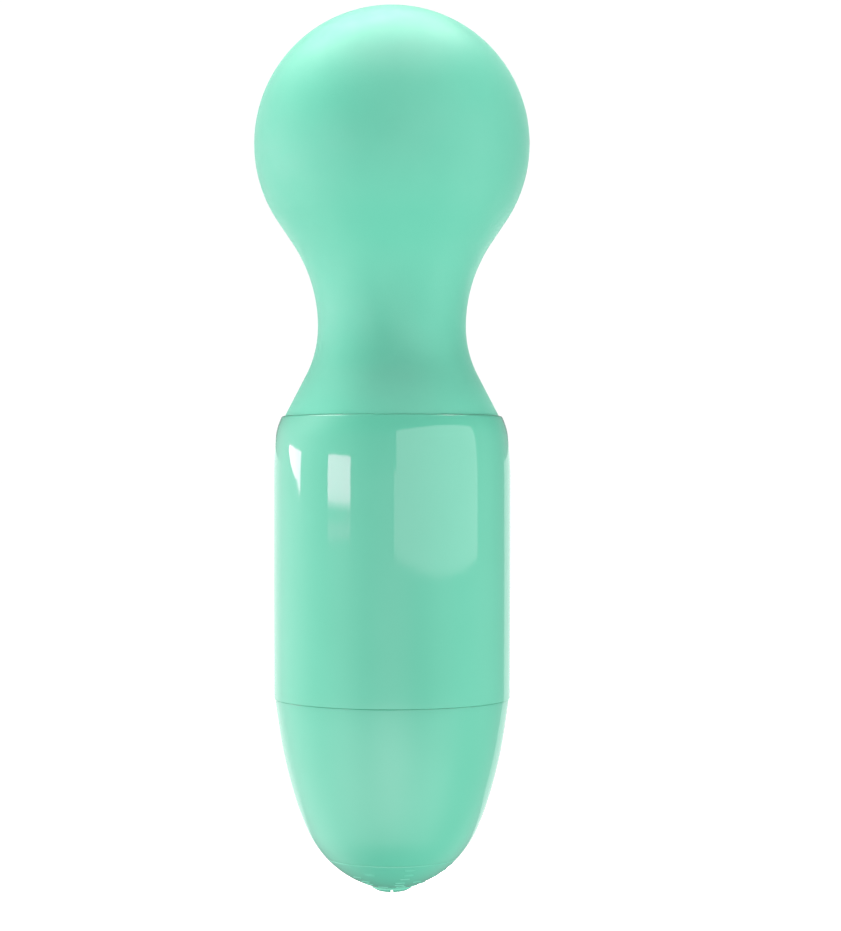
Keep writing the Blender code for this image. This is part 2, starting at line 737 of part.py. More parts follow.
def make_switch(owner, owner_plunger):
    count = 16
    half = 2.4
    outer = []
    for step in range(count):
        angle = 2 * math.pi * step / count
        stretch = half / max(abs(math.cos(angle)), abs(math.sin(angle)))
        outer.append((stretch * math.cos(angle), stretch * math.sin(angle)))
    turns = [2 * math.pi * step / count for step in range(count)]
    hole = [(1.5 * math.cos(angle), 1.5 * math.sin(angle)) for angle in turns]
    low, high = 19.7, END_BOARD_Z - GAP
    levels = ((outer, low), (outer, high), (hole, high), (hole, low))
    loops = [[(x, y, z) for x, y in loop] for loop, z in levels]
    add_object("tact_switch", lofted(loops, True), black_plastic(), owner)
    add_object("switch_plunger", rod(1.15, 18.6, 20.5, 16), lamp_lens(), owner_plunger)


# The base: cap, button, spring and retainer.


def make_base_cap(owner):
    outer = [(r, z) for r, z in cap_outline(4) if z < LOWER_SEAM_Z - 0.5]
    rim_z = LOWER_SEAM_Z - 0.15
    top = [(CAP_BORE, rim_z), (CAP_RADIUS - 0.27, rim_z), (CAP_RADIUS - 0.05, rim_z - 0.25)]
    hole = [(BUTTON_RADIUS + GAP, outer[-1][1] + 0.2), (BUTTON_RADIUS + GAP, 9.0), (10.0, 9.0)]
    inner = [(10.4, 10.1), (11.1, 12.8), (11.1, 13.3), (11.7, 13.3), (11.95, 15.4), (CAP_BORE, 18.5)]
    add_object("base_cap", turned(top + outer + hole + inner, True), gloss_abs(), owner)
    retainer = [(2.4, 13.6), (11.35, 13.6), (11.35, 14.8), (2.4, 14.8)]
    add_object("button_retainer", turned(retainer, True, 28), inner_abs(), owner)
    seal = [(9.35, 9.3), (9.75, 9.3), (9.75, 9.9), (9.35, 9.9)]
    add_object("button_seal", turned(seal, True), black_rubber(), owner)


def make_button(owner, owner_cap):
    stem = [(0, 18.3), (2.0, 18.3), (2.0, 3.3), (4.5, 3.3), (7.6, 6.6), (7.6, 11.2)]
    flange = [(10.1, 11.2), (10.1, 10.2), (BUTTON_RADIUS, 10.2)]
    dome = button_outline(6)
    mark = [(BUTTON_MARK_RADIUS - 0.05, 0.42), (2.1, 0.2), (1.7, 0.0), (0.9, 0.0), (0.9, 0.35), (0, 0.35)]
    button = add_object("power_button", turned(stem + flange + dome + mark, False), gloss_abs(), owner)
    notch = add_object("mark_notch", block((0.45, 1.9, 1.0)), None, None, (0, -2.0, -0.1))
    cut(button, notch)
    wire = 0.25
    coil = helix(2.95, 3.6 + wire, 13.3 - wire, 5.5, 12)
    tube("button_spring", coil, wire, steel(), owner_cap, sides=0)


def main():
    clear_scene()
    handle = body("handle")
    head = body("head", NECK_PIVOT_Z, handle)
    rotor = body("rotor", BALL_Z, head)
    cap = body("base_cap", LOWER_SEAM_Z, handle)
    button = body("power_button", LOWER_SEAM_Z / 2, cap)
    plunger = body("switch_plunger", SPIGOT_END_Z, handle)
    make_head_cover(head)
    make_head_frame(head)
    make_motor_shell(head)
    make_rotor(rotor)
    make_neck(head)
    make_sleeve(handle)
    make_chassis(handle)
    make_battery(handle)
    make_main_board(handle)
    make_end_board(handle)
    make_switch(handle, plunger)
    make_base_cap(cap)
    make_button(button, cap)


main()
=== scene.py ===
"""Looks for the small cordless wand massager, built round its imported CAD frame.

The object stands along +Z with its front towards -Y. Outlines and routes are millimetres in the
half plane (r, z) or in (x, y, z), and are turned into metres as the meshes are made.
"""

import math

import bmesh
import bpy
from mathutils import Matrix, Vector


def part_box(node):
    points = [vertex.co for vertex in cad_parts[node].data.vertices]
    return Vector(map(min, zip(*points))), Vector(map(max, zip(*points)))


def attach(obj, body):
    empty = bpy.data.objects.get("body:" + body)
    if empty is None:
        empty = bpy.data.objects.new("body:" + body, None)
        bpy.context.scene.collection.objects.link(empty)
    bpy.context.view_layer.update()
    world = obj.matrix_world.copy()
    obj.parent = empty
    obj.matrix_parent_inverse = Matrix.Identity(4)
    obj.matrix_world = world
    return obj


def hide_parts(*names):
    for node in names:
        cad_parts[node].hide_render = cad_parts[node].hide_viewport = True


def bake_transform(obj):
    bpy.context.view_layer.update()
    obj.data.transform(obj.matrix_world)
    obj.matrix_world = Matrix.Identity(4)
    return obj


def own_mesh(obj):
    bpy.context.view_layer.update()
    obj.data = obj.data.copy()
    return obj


MM = 0.001

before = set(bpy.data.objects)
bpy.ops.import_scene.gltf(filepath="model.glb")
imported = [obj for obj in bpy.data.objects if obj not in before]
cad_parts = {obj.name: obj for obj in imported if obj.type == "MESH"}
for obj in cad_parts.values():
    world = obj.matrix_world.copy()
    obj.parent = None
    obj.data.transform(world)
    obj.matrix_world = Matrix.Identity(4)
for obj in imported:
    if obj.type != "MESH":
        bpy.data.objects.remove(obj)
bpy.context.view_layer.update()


def high_of(node):
    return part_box(node)[1] / MM


def low_of(node):
    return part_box(node)[0] / MM


# Driving dimensions, read from the frame where a node's box gives them. The box of the CAD base
# stops short of its radius at the seam, because its rim is chamfered.
RIM_CHAMFER = 0.05
TOTAL_LENGTH = high_of("head_cover").z
BALL_RADIUS = high_of("head_cover").x
BALL_Z = TOTAL_LENGTH - BALL_RADIUS
UPPER_SEAM_Z = high_of("handle_sleeve").z
SLEEVE_RADIUS = high_of("handle_sleeve").x
CAP_RADIUS = high_of("base_cap").x + RIM_CHAMFER
LOWER_SEAM_Z = (low_of("handle_sleeve").z + high_of("base_cap").z) / 2
CHASSIS_RADIUS = high_of("chassis_rear").x

# The same proportions as the CAD solids have.
BALL_END_DEG = 34.0
BALL_TO_NECK_RUN = 3.5
UPPER_NECK_RADIUS = 20.4
LOWER_NECK_RADIUS = 14.4
FLARE_DEG = 27.4
SLEEVE_TAPER = 0.05
SLEEVE_FOOT_RADIUS = SLEEVE_RADIUS - SLEEVE_TAPER
CAP_TAPER_DEG = 8.0
CAP_TAPER_RUN = 3.5
CAP_ARCS = ((63.0, 17.1), (40.0, 24.0), (14.3, 40.7))
BUTTON_ARC_RADIUS = 14.0
BUTTON_RADIUS = 9.05
BUTTON_SPRING_LOW_Z = 3.6
BUTTON_SPRING_HIGH_Z = 13.3
SILICONE_WALL = 2.2
GAP = 0.3
SLEEVE_BORE = CHASSIS_RADIUS + GAP
LIP_BORE = 13.3
LIP_HEIGHT = 1.5
SPIGOT_RADIUS = 12.7
CAP_BORE = SPIGOT_RADIUS + GAP
LEAD_RADIUS = 0.45

# The ring in the middle of the button, the notch across it, and the ridges round it, in rows of
# (radius, angles from the front).
MARK_RADIUS = 2.75
NOTCH = 0.30
NOTCH_TOP = 0.44
NOTCH_REACH = 3.2
RIDGE_WIDTH = 0.28
RIDGE_LENGTH = 1.3
RIDGE_HEIGHT = 0.075
RIDGE_SINK = 0.12
RIDGE_TOP_SHARE = 0.6
RIDGE_STEPS = 6
RIDGE_ROWS = (
    (3.9, (-18, 18, 50, 120, 180, 240)),
    (4.8, (-40, 12, 60, 130, 180, 230)),
    (5.7, (-38, 11, 36, 140, 180, 220)),
    (6.7, (-44, 15, 60, 145, 180, 215)),
    (7.6, (-23, 17, 68, 155, 200)),
    (8.5, (16, 70, 165, 195)),
)

# How closely the visible shells meet at their seams, how their edges are rounded, how many
# sides round things have, and how near points have to be for them to become one.
SEAM_GAP = 0.025
REST_GAP = 0.01
EDGE = 0.06
SKIN_EDGE = 0.04
BASE_EDGE = 0.12
SHARP_DEG = 40.0
AROUND = 160
LEAD_SIDES = 14
WELD = 0.0005
SEAM_WELD = 0.001


# Outlines in the half plane (r, z).


def arc(centre, radius, start_deg, end_deg, steps):
    """Points of an arc, where 0 degrees points outwards and 90 degrees points up."""
    points = []
    for step in range(steps + 1):
        angle = math.radians(start_deg + (end_deg - start_deg) * step / steps)
        points.append((centre[0] + radius * math.cos(angle), centre[1] + radius * math.sin(angle)))
    return points


def drop(point, run, lean_deg):
    """The point reached after a straight run downwards that leans in towards the axis."""
    lean = math.radians(lean_deg)
    return (point[0] - run * math.sin(lean), point[1] - run * math.cos(lean))


def convex_drop(point, radius, start_deg, end_deg, steps):
    """Points of a bulging arc that goes down and in, its lean growing from start to end."""
    start = math.radians(start_deg)
    centre = (point[0] - radius * math.cos(start), point[1] + radius * math.sin(start))
    return arc(centre, radius, -start_deg, -end_deg, steps)[1:]


def head_outline(steps_ball, steps_neck, bottom_z):
    """The ball, the waisted neck and the flare, from the top pole down to bottom_z."""
    points = arc((0, BALL_Z), BALL_RADIUS, 90, -BALL_END_DEG, steps_ball)
    points[0] = (0.0, TOTAL_LENGTH)
    points.append(drop(points[-1], BALL_TO_NECK_RUN, BALL_END_DEG))
    lean = math.radians(BALL_END_DEG)
    centre_r = points[-1][0] + UPPER_NECK_RADIUS * math.cos(lean)
    centre_z = points[-1][1] - UPPER_NECK_RADIUS * math.sin(lean)
    points += arc((centre_r, centre_z), UPPER_NECK_RADIUS, 180 - BALL_END_DEG, 180, steps_neck)[1:]
    centre_r += LOWER_NECK_RADIUS - UPPER_NECK_RADIUS
    points += arc((centre_r, centre_z), LOWER_NECK_RADIUS, 180, 180 + FLARE_DEG, steps_neck)[1:]
    last_r, last_z = points[-1]
    flare = math.tan(math.radians(FLARE_DEG))
    for step in (0.5, 1.0):
        z = last_z + (bottom_z - last_z) * step
        points.append((last_r + (last_z - z) * flare, z))
    return points


def offset_in(points, distance):
    """The same outline moved towards the axis, square to itself; it runs from the top down."""
    moved = []
    for index, (r, z) in enumerate(points):
        before = points[max(index - 1, 0)]
        after = points[min(index + 1, len(points) - 1)]
        along_r = after[0] - before[0]
        along_z = after[1] - before[1]
        length = math.hypot(along_r, along_z)
        moved.append((r + along_z / length * distance, z - along_r / length * distance))
    moved[0] = (0.0, points[0][1] - distance)
    return moved


def cap_outline(steps):
    """The outside of the base from the lower seam to the edge of the button's hole."""
    top = (CAP_RADIUS, LOWER_SEAM_Z)
    points = [top, drop(top, CAP_TAPER_RUN, CAP_TAPER_DEG)]
    lean = CAP_TAPER_DEG
    for radius, next_lean in CAP_ARCS:
        points += convex_drop(points[-1], radius, lean, next_lean, steps)
        lean = next_lean
    return points


def button_arc():
    """The centre of the button's dome, and its angles at the edge of its skirt and at the mark."""
    start_r, start_z = cap_outline(1)[-1]
    start = math.radians(CAP_ARCS[-1][1])
    centre_r = start_r - BUTTON_ARC_RADIUS * math.cos(start)
    centre_z = start_z + BUTTON_ARC_RADIUS * math.sin(start)
    centre = (centre_r, centre_z)
    edge_deg = math.degrees(math.acos((BUTTON_RADIUS - centre[0]) / BUTTON_ARC_RADIUS))
    mark_deg = math.degrees(math.acos((MARK_RADIUS - centre[0]) / BUTTON_ARC_RADIUS))
    return centre, edge_deg, mark_deg


def button_height(r):
    """Height of the button's dome at a distance from the axis."""
    centre, _, _ = button_arc()
    return centre[1] - math.sqrt(BUTTON_ARC_RADIUS**2 - (r - centre[0]) ** 2)


def sleeve_outline():
    """The outside of the sleeve, from the flat of its top rim over the shoulder to its foot."""
    bend_deg = 6.8
    rim_deg = 25.3
    broad = 47.0
    tight = 9.0
    rim = 0.4
    foot_run = 1.6
    rising = arc((SLEEVE_RADIUS - broad, 0), broad, 0, bend_deg, 24)
    last_r, last_z = rising[-1]
    bend = math.radians(bend_deg)
    centre = (last_r - tight * math.cos(bend), last_z - tight * math.sin(bend))
    rising += arc(centre, tight, bend_deg, rim_deg, 16)[1:]
    last_r, last_z = rising[-1]
    turn = math.radians(rim_deg)
    centre = (last_r - rim * math.cos(turn), last_z - rim * math.sin(turn))
    rising += arc(centre, rim, rim_deg, 90, 8)[1:]
    lift = UPPER_SEAM_Z - rising[-1][1]
    falling = [(r, z + lift) for r, z in reversed(rising)]
    foot_z = LOWER_SEAM_Z + SEAM_GAP / 2
    middle_z = (falling[-1][1] + foot_z) / 2
    falling.append((SLEEVE_RADIUS, middle_z))
    falling += [(SLEEVE_FOOT_RADIUS, foot_z + foot_run), (SLEEVE_FOOT_RADIUS, foot_z)]
    return falling


def filleted(points, closed, radius=EDGE, least_turn_deg=25.0, steps=4):
    """The outline with an arc at each corner that turns sharply. Points on the axis stay."""
    count = len(points)
    made = []
    for index, point in enumerate(points):
        here = Vector(point)
        inside = closed or 0 < index < count - 1
        before = Vector(points[index - 1]) - here
        after = Vector(points[(index + 1) % count]) - here
        if not inside or point[0] == 0:
            made.append(point)
            continue
        turn = math.pi - before.angle(after)
        if turn < math.radians(least_turn_deg):
            made.append(point)
            continue
        reach = min(radius * math.tan(turn / 2), before.length * 0.45, after.length * 0.45)
        start = here + before.normalized() * reach
        end = here + after.normalized() * reach
        for step in range(steps + 1):
            t = step / steps
            spot = start * (1 - t) ** 2 + here * 2 * t * (1 - t) + end * t**2
            made.append(tuple(spot))
    return made


# Mesh makers, all in millimetres.


def turned(outline, closed, segments=AROUND):
    """Spins an outline of (r, z) points round Z. A closed outline is a ring's section."""
    bm = bmesh.new()
    verts = [bm.verts.new((r, 0, z)) for r, z in outline]
    edges = [bm.edges.new(pair) for pair in zip(verts, verts[1:])]
    if closed:
        edges.append(bm.edges.new((verts[-1], verts[0])))
    bmesh.ops.spin(
        bm, geom=verts + edges, axis=(0, 0, 1), cent=(0, 0, 0), steps=segments, angle=2 * math.pi
    )
    bmesh.ops.remove_doubles(bm, verts=bm.verts, dist=WELD)
    return bm


def new_piece(name, bm, mat):
    """Makes a shown mesh piece of a bmesh in millimetres."""
    bmesh.ops.scale(bm, vec=(MM, MM, MM), verts=bm.verts)
    bmesh.ops.recalc_face_normals(bm, faces=bm.faces)
    mesh = bpy.data.meshes.new(name)
    bm.to_mesh(mesh)
    bm.free()
    mesh.shade_smooth()
    mesh.set_sharp_from_angle(angle=math.radians(SHARP_DEG))
    obj = bpy.data.objects.new(name, mesh)
    bpy.context.scene.collection.objects.link(obj)
    if mat:
        mesh.materials.append(mat)
    return obj


def stands_for(piece, body, slot, *nodes):
    """The piece rides on a body in place of CAD nodes."""
    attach(piece, body)
    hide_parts(*nodes)


def bends_for(piece, slot, *nodes):
    """The piece stands in place of CAD nodes, which are hidden; its placement is baked into its
    mesh.
    """
    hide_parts(*nodes)
    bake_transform(piece)


def skin_rings(bm, rings):
    """Joins each ring of vertices to the next, and closes both ends."""
    sides = len(rings[0])
    for low, high in zip(rings, rings[1:]):
        for side in range(sides):
            after = (side + 1) % sides
            bm.faces.new((low[side], low[after], high[after], high[side]))
    bm.faces.new(rings[0])
    bm.faces.new(rings[-1])


def tube_mesh(points, radius, sides):
    """A closed round tube along points, its section carried along without twist."""
    spots = [Vector(point) for point in points]
    bm = bmesh.new()
    rings = []
    across = None
    for index, spot in enumerate(spots):
        before = spots[max(index - 1, 0)]
        after = spots[min(index + 1, len(spots) - 1)]
        along = (after - before).normalized()
        if across is None:
            across = along.orthogonal().normalized()
        across = (across - along * across.dot(along)).normalized()
        other = along.cross(across)
        ring = []
        for side in range(sides):
            angle = 2 * math.pi * side / sides
            outwards = across * math.cos(angle) + other * math.sin(angle)
            ring.append(bm.verts.new(spot + outwards * radius))
        rings.append(ring)
    skin_rings(bm, rings)
    return bm


def smooth_route(knots, count):
    """Evenly numbered points on a smooth Catmull-Rom curve through the knots."""
    spots = [Vector(knot) for knot in knots]
    padded = [spots[0] * 2 - spots[1], *spots, spots[-1] * 2 - spots[-2]]
    route = []
    spans = len(spots) - 1
    for step in range(count + 1):
        where = min(step / count * spans, spans - 1e-9)
        index = int(where)
        t = where - index
        a, b, c, d = padded[index : index + 4]
        bend = 2 * a - 5 * b + 4 * c - d
        twist = 3 * b - a - 3 * c + d
        route.append(0.5 * (2 * b + (c - a) * t + bend * t**2 + twist * t**3))
    return route


def helix(radius, low, high, turns, per_turn):
    """Points of a coil spring, with its end turns closed up."""
    closing = 0.35
    total = int(turns * per_turn)
    points = []
    for step in range(total + 1):
        share = step / total
        eased = share - math.sin(2 * math.pi * share) / (2 * math.pi)
        angle = 2 * math.pi * turns * share
        z = low + (high - low) * (closing * eased + (1 - closing) * share)
        points.append((radius * math.cos(angle), radius * math.sin(angle), z))
    return points


# Materials. Each is made of nodes, with its constants on the shader's own sockets.


def fill_sockets(tree, target, values):
    for name, value in values.items():
        if isinstance(value, bpy.types.NodeSocket):
            tree.links.new(value, target.inputs[name])
        else:
            target.inputs[name].default_value = value


def add_node(tree, kind, values, **settings):
    made = tree.nodes.new(kind)
    for name, value in settings.items():
        setattr(made, name, value)
    fill_sockets(tree, made, values)
    return made


def new_material(name, **constants):
    """A material and its node tree, with constants such as Metallic set on the shader."""
    mat = bpy.data.materials.new(name)
    mat.use_nodes = True
    shader = mat.node_tree.nodes["Principled BSDF"]
    for key, value in constants.items():
        shader.inputs[key.replace("_", " ")].default_value = value
    return mat, mat.node_tree, shader


def places(tree, stretch=(1, 1, 1)):
    """Object coordinates in millimetres, stretched along the axes."""
    source = tree.nodes.new("ShaderNodeTexCoord")
    scale = [s / MM for s in stretch]
    values = {"Vector": source.outputs["Object"], "Scale": scale}
    return add_node(tree, "ShaderNodeMapping", values).outputs["Vector"]


def noise(tree, where, scale, detail=3.0, rough=0.55):
    values = {"Vector": where, "Scale": scale, "Detail": detail, "Roughness": rough}
    return add_node(tree, "ShaderNodeTexNoise", values).outputs["Fac"]


def spread(tree, value, low, high, from_low=0.3, from_high=0.7):
    """The value, mapped from one range to another and held inside it."""
    values = {"Value": value, "From Min": from_low, "From Max": from_high}
    values.update({"To Min": low, "To Max": high})
    return add_node(tree, "ShaderNodeMapRange", values).outputs["Result"]


# Places of the Mix node's colour sockets, which share their names with its other sockets.
MIX_SHARE = 0
MIX_FIRST = 6
MIX_SECOND = 7
MIX_RESULT = 2


def mixed(tree, share, first, second):
    """One colour blended into another by a share from 0 to 1."""
    made = add_node(tree, "ShaderNodeMix", {}, data_type="RGBA")
    for index, value in ((MIX_FIRST, first), (MIX_SECOND, second)):
        if isinstance(value, bpy.types.NodeSocket):
            tree.links.new(value, made.inputs[index])
        else:
            made.inputs[index].default_value = (*value, 1.0)
    tree.links.new(share, made.inputs[MIX_SHARE])
    return made.outputs[MIX_RESULT]


def bump(tree, height, distance_mm, strength=1.0, under=None):
    values = {"Height": height, "Distance": distance_mm * MM, "Strength": strength}
    if under:
        values["Normal"] = under
    return add_node(tree, "ShaderNodeBump", values).outputs["Normal"]


def worn_edges(tree, low=0.52, high=0.62):
    """1 along raised edges and 0 elsewhere."""
    geometry = tree.nodes.new("ShaderNodeNewGeometry")
    return spread(tree, geometry.outputs["Pointiness"], 0.0, 1.0, low, high)


def make_silicone():
    mat, tree, shader = new_material(
        "mint_silicone", Sheen_Weight=0.15, Sheen_Roughness=0.35, IOR=1.41
    )
    where = places(tree)
    cloud = spread(tree, noise(tree, where, 0.12, 2.0), 0.0, 1.0)
    speck = spread(tree, noise(tree, where, 7.0, 2.0), 0.0, 1.0)
    tone = mixed(tree, cloud, (0.102, 0.422, 0.300), (0.110, 0.434, 0.309))
    tone = mixed(tree, spread(tree, speck, 0.0, 0.25, 0.0, 1.0), tone, (0.118, 0.445, 0.320))
    dull = spread(tree, noise(tree, where, 0.35, 4.0), 0.40, 0.50)
    grain = bump(tree, noise(tree, where, 9.0, 4.0, 0.6), 0.030, 0.6)
    skin = bump(tree, noise(tree, where, 1.1, 2.0), 0.012, 0.5, grain)
    fill_sockets(tree, shader, {"Base Color": tone, "Roughness": dull, "Normal": skin})
    return mat


def make_gloss():
    mat, tree, shader = new_material("mint_gloss", IOR=1.50)
    where = places(tree)
    cloud = spread(tree, noise(tree, where, 0.08, 2.0), 0.0, 1.0)
    tone = mixed(tree, cloud, (0.101, 0.419, 0.294), (0.107, 0.429, 0.304))
    fine = noise(tree, places(tree, (1.0, 1.0, 0.06)), 6.0, 3.0, 0.7)
    haze = spread(tree, noise(tree, where, 0.25, 4.0, 0.6), 0.0, 0.022)
    hairs = spread(tree, fine, 0.030, 0.052)
    dull = add_node(tree, "ShaderNodeMath", {0: hairs, 1: haze}, operation="ADD").outputs[0]
    peel = bump(tree, noise(tree, where, 0.55, 1.5, 0.4), 0.0022, 1.0)
    fill_sockets(tree, shader, {"Base Color": tone, "Roughness": dull, "Normal": peel})
    return mat


def make_moulded(name, colour, shade, rough, grain_mm=0.02):
    """Moulded plastic with a spark-eroded surface and slightly rubbed edges."""
    mat, tree, shader = new_material(name, IOR=1.49)
    where = places(tree)
    cloud = spread(tree, noise(tree, where, 0.2, 3.0), 0.0, 1.0)
    tone = mixed(tree, cloud, colour, shade)
    rubbed = worn_edges(tree)
    pale = tuple(min(1.0, c * 1.15 + 0.02) for c in colour)
    tone = mixed(tree, spread(tree, rubbed, 0.0, 0.5, 0.0, 1.0), tone, pale)
    dull = spread(tree, noise(tree, where, 2.0, 4.0), rough - 0.08, rough + 0.08)
    eroded = bump(tree, noise(tree, where, 6.0, 5.0, 0.65), grain_mm, 0.6)
    fill_sockets(tree, shader, {"Base Color": tone, "Roughness": dull, "Normal": eroded})
    return mat


def make_metal(name, colour, shade, rough, stretch=(1, 1, 1), scale=4.0):
    """Metal with fine drawn or turned lines, stains and bright rubbed edges."""
    mat, tree, shader = new_material(name, Metallic=1.0)
    lines = noise(tree, places(tree, stretch), scale, 4.0, 0.7)
    stain = spread(tree, noise(tree, places(tree), 0.5, 4.0), 0.0, 1.0)
    tone = mixed(tree, stain, colour, shade)
    bright = tuple(min(1.0, c * 1.2) for c in colour)
    tone = mixed(tree, spread(tree, worn_edges(tree), 0.0, 0.6, 0.0, 1.0), tone, bright)
    dull = spread(tree, lines, rough - 0.08, rough + 0.12)
    drawn = bump(tree, lines, 0.006, 0.7)
    fill_sockets(tree, shader, {"Base Color": tone, "Roughness": dull, "Normal": drawn})
    return mat


def make_copper():
    """Enamelled winding wire, laid in turns round the poles, seen as fine ridges across Z."""
    mat, tree, shader = new_material(
        "copper_windings", Metallic=1.0, Coat_Weight=0.4, Coat_Roughness=0.1
    )
    where = places(tree)
    values = {"Vector": where, "Scale": 1.3, "Distortion": 0.4}
    bands = {"wave_type": "BANDS", "bands_direction": "Z", "wave_profile": "SIN"}
    turns = add_node(tree, "ShaderNodeTexWave", values, **bands).outputs["Fac"]
    share = spread(tree, turns, 0.0, 1.0, 0.1, 0.9)
    # The grooves between the turns are painted darker and the crests lighter: painted shade between
    # the turns.
    tone = mixed(tree, share, (0.45, 0.16, 0.07), (0.80, 0.38, 0.20))
    dull = spread(tree, noise(tree, where, 3.0), 0.25, 0.4)
    ridges = bump(tree, turns, 0.08, 0.8)
    fill_sockets(tree, shader, {"Base Color": tone, "Roughness": dull, "Normal": ridges})
    return mat


def make_ferrite():
    mat, tree, shader = new_material("ferrite", IOR=1.6)
    where = places(tree)
    tone = mixed(tree, noise(tree, where, 5.0, 6.0, 0.7), (0.045, 0.045, 0.05), (0.11, 0.105, 0.11))
    dull = spread(tree, noise(tree, where, 3.0), 0.5, 0.75)
    pores = bump(tree, noise(tree, where, 8.0, 6.0, 0.75), 0.05, 0.8)
    fill_sockets(tree, shader, {"Base Color": tone, "Roughness": dull, "Normal": pores})
    return mat


def make_board():
    """Green solder resist over copper tracks, with tinned pads."""
    mat, tree, shader = new_material("circuit_board", Coat_Weight=0.5, Coat_Roughness=0.15)
    where = places(tree)
    values = {"Vector": where, "Scale": 0.8}
    cells = add_node(tree, "ShaderNodeTexVoronoi", values, distance="MANHATTAN", feature="F1")
    tracks = spread(tree, cells.outputs["Distance"], 0.0, 1.0, 0.38, 0.42)
    pads = spread(tree, cells.outputs["Distance"], 1.0, 0.0, 0.10, 0.13)
    tone = mixed(tree, tracks, (0.012, 0.13, 0.06), (0.02, 0.20, 0.09))
    tone = mixed(tree, pads, tone, (0.72, 0.70, 0.66))
    dull = spread(tree, noise(tree, where, 3.0), 0.32, 0.5)
    relief = bump(tree, tracks, 0.03, 0.8)
    fill_sockets(tree, shader, {"Base Color": tone, "Metallic": pads})
    fill_sockets(tree, shader, {"Roughness": dull, "Normal": relief})
    return mat


def make_rubber():
    mat, tree, shader = new_material("black_rubber", IOR=1.52, Sheen_Weight=0.08)
    where = places(tree)
    bloom = spread(tree, noise(tree, where, 0.8, 5.0), 0.0, 1.0)
    tone = mixed(tree, bloom, (0.014, 0.014, 0.015), (0.035, 0.035, 0.036))
    dull = spread(tree, bloom, 0.55, 0.8, 0.0, 1.0)
    grain = bump(tree, noise(tree, where, 8.0, 4.0, 0.7), 0.03, 0.6)
    fill_sockets(tree, shader, {"Base Color": tone, "Roughness": dull, "Normal": grain})
    return mat


def make_foil():
    """The aluminium pouch of the battery cell, pressed flat with soft creases."""
    mat, tree, shader = new_material(
        "battery_foil", Metallic=0.85, Coat_Weight=0.3, Coat_Roughness=0.2
    )
    where = places(tree)
    creases = noise(tree, where, 0.35, 6.0, 0.6)
    # The hollows of the creases are painted darker: painted shade in the creases.
    tone = mixed(tree, spread(tree, creases, 0.0, 1.0), (0.62, 0.63, 0.66), (0.78, 0.79, 0.80))
    dull = spread(tree, noise(tree, where, 1.5), 0.25, 0.42)
    pressed = bump(tree, creases, 0.25, 0.7)
    fill_sockets(tree, shader, {"Base Color": tone, "Roughness": dull, "Normal": pressed})
    return mat


def make_foam():
    mat, tree, shader = new_material("grey_foam", Sheen_Weight=0.3, Sheen_Roughness=0.6)
    where = places(tree)
    values = {"Vector": where, "Scale": 2.6}
    cells = add_node(tree, "ShaderNodeTexVoronoi", values).outputs["Distance"]
    # The pores are painted dark and the cell walls pale: painted shade in the pores.
    walls = spread(tree, cells, 0.0, 1.0, 0.1, 0.6)
    tone = mixed(tree, walls, (0.08, 0.085, 0.09), (0.30, 0.31, 0.33))
    open_cells = bump(tree, cells, 0.25, 0.9)
    dull = spread(tree, noise(tree, where, 2.0), 0.88, 0.98)
    fill_sockets(tree, shader, {"Base Color": tone, "Roughness": dull, "Normal": open_cells})
    return mat


def make_lead(name, colour, shade):
    """Soft vinyl insulation with drawing marks along the wire."""
    mat, tree, shader = new_material(name, IOR=1.5)
    where = places(tree, (1.0, 1.0, 0.15))
    marks = noise(tree, where, 5.0, 4.0, 0.6)
    tone = mixed(tree, spread(tree, marks, 0.0, 1.0), colour, shade)
    dull = spread(tree, noise(tree, places(tree), 2.0), 0.35, 0.55)
    drawn = bump(tree, marks, 0.01, 0.6)
    fill_sockets(tree, shader, {"Base Color": tone, "Roughness": dull, "Normal": drawn})
    return mat


def make_milky():
    """Milky, slightly clear nylon and light-guide plastic."""
    mat, tree, shader = new_material("milky_plastic", IOR=1.53, Subsurface_Weight=0.2)
    shader.inputs["Subsurface Radius"].default_value = (0.001, 0.001, 0.0008)
    where = places(tree)
    tone = mixed(tree, noise(tree, where, 0.6, 4.0), (0.80, 0.81, 0.78), (0.88, 0.89, 0.87))
    dull = spread(tree, noise(tree, where, 2.0), 0.22, 0.38)
    grain = bump(tree, noise(tree, where, 5.0, 4.0), 0.015, 0.6)
    fill_sockets(tree, shader, {"Base Color": tone, "Roughness": dull, "Normal": grain})
    return mat


PALE = (0.56, 0.57, 0.56)
PALE_SHADE = (0.50, 0.51, 0.50)
BLACK = (0.022, 0.022, 0.024)
BLACK_SHADE = (0.035, 0.035, 0.036)
ALONG_Z = (1, 1, 0.1)
ACROSS_Z = (0.2, 0.2, 3.0)

# One material for each material slot of the record.
MATERIALS = {
    "mint_silicone": make_silicone(),
    "mint_gloss": make_gloss(),
    "inner_plastic": make_moulded("inner_plastic", PALE, PALE_SHADE, 0.42),
    "black_plastic": make_moulded("black_plastic", BLACK, BLACK_SHADE, 0.45),
    "steel": make_metal("steel", (0.60, 0.61, 0.63), (0.50, 0.50, 0.51), 0.28),
    "nickel": make_metal("nickel_plate", (0.70, 0.68, 0.63), (0.62, 0.60, 0.56), 0.22, ALONG_Z),
    "copper": make_copper(),
    "brass": make_metal("brass", (0.76, 0.56, 0.25), (0.62, 0.44, 0.20), 0.3, ACROSS_Z),
    "ferrite": make_ferrite(),
    "circuit_board": make_board(),
    "black_rubber": make_rubber(),
    "foil": make_foil(),
    "foam": make_foam(),
    "red_lead": make_lead("red_lead", (0.48, 0.012, 0.012), (0.60, 0.03, 0.025)),
    "black_lead": make_lead("black_lead", (0.015, 0.015, 0.016), BLACK_SHADE),
    "clear_plastic": make_milky(),
}


# The head: soft skin over the ball and the neck.


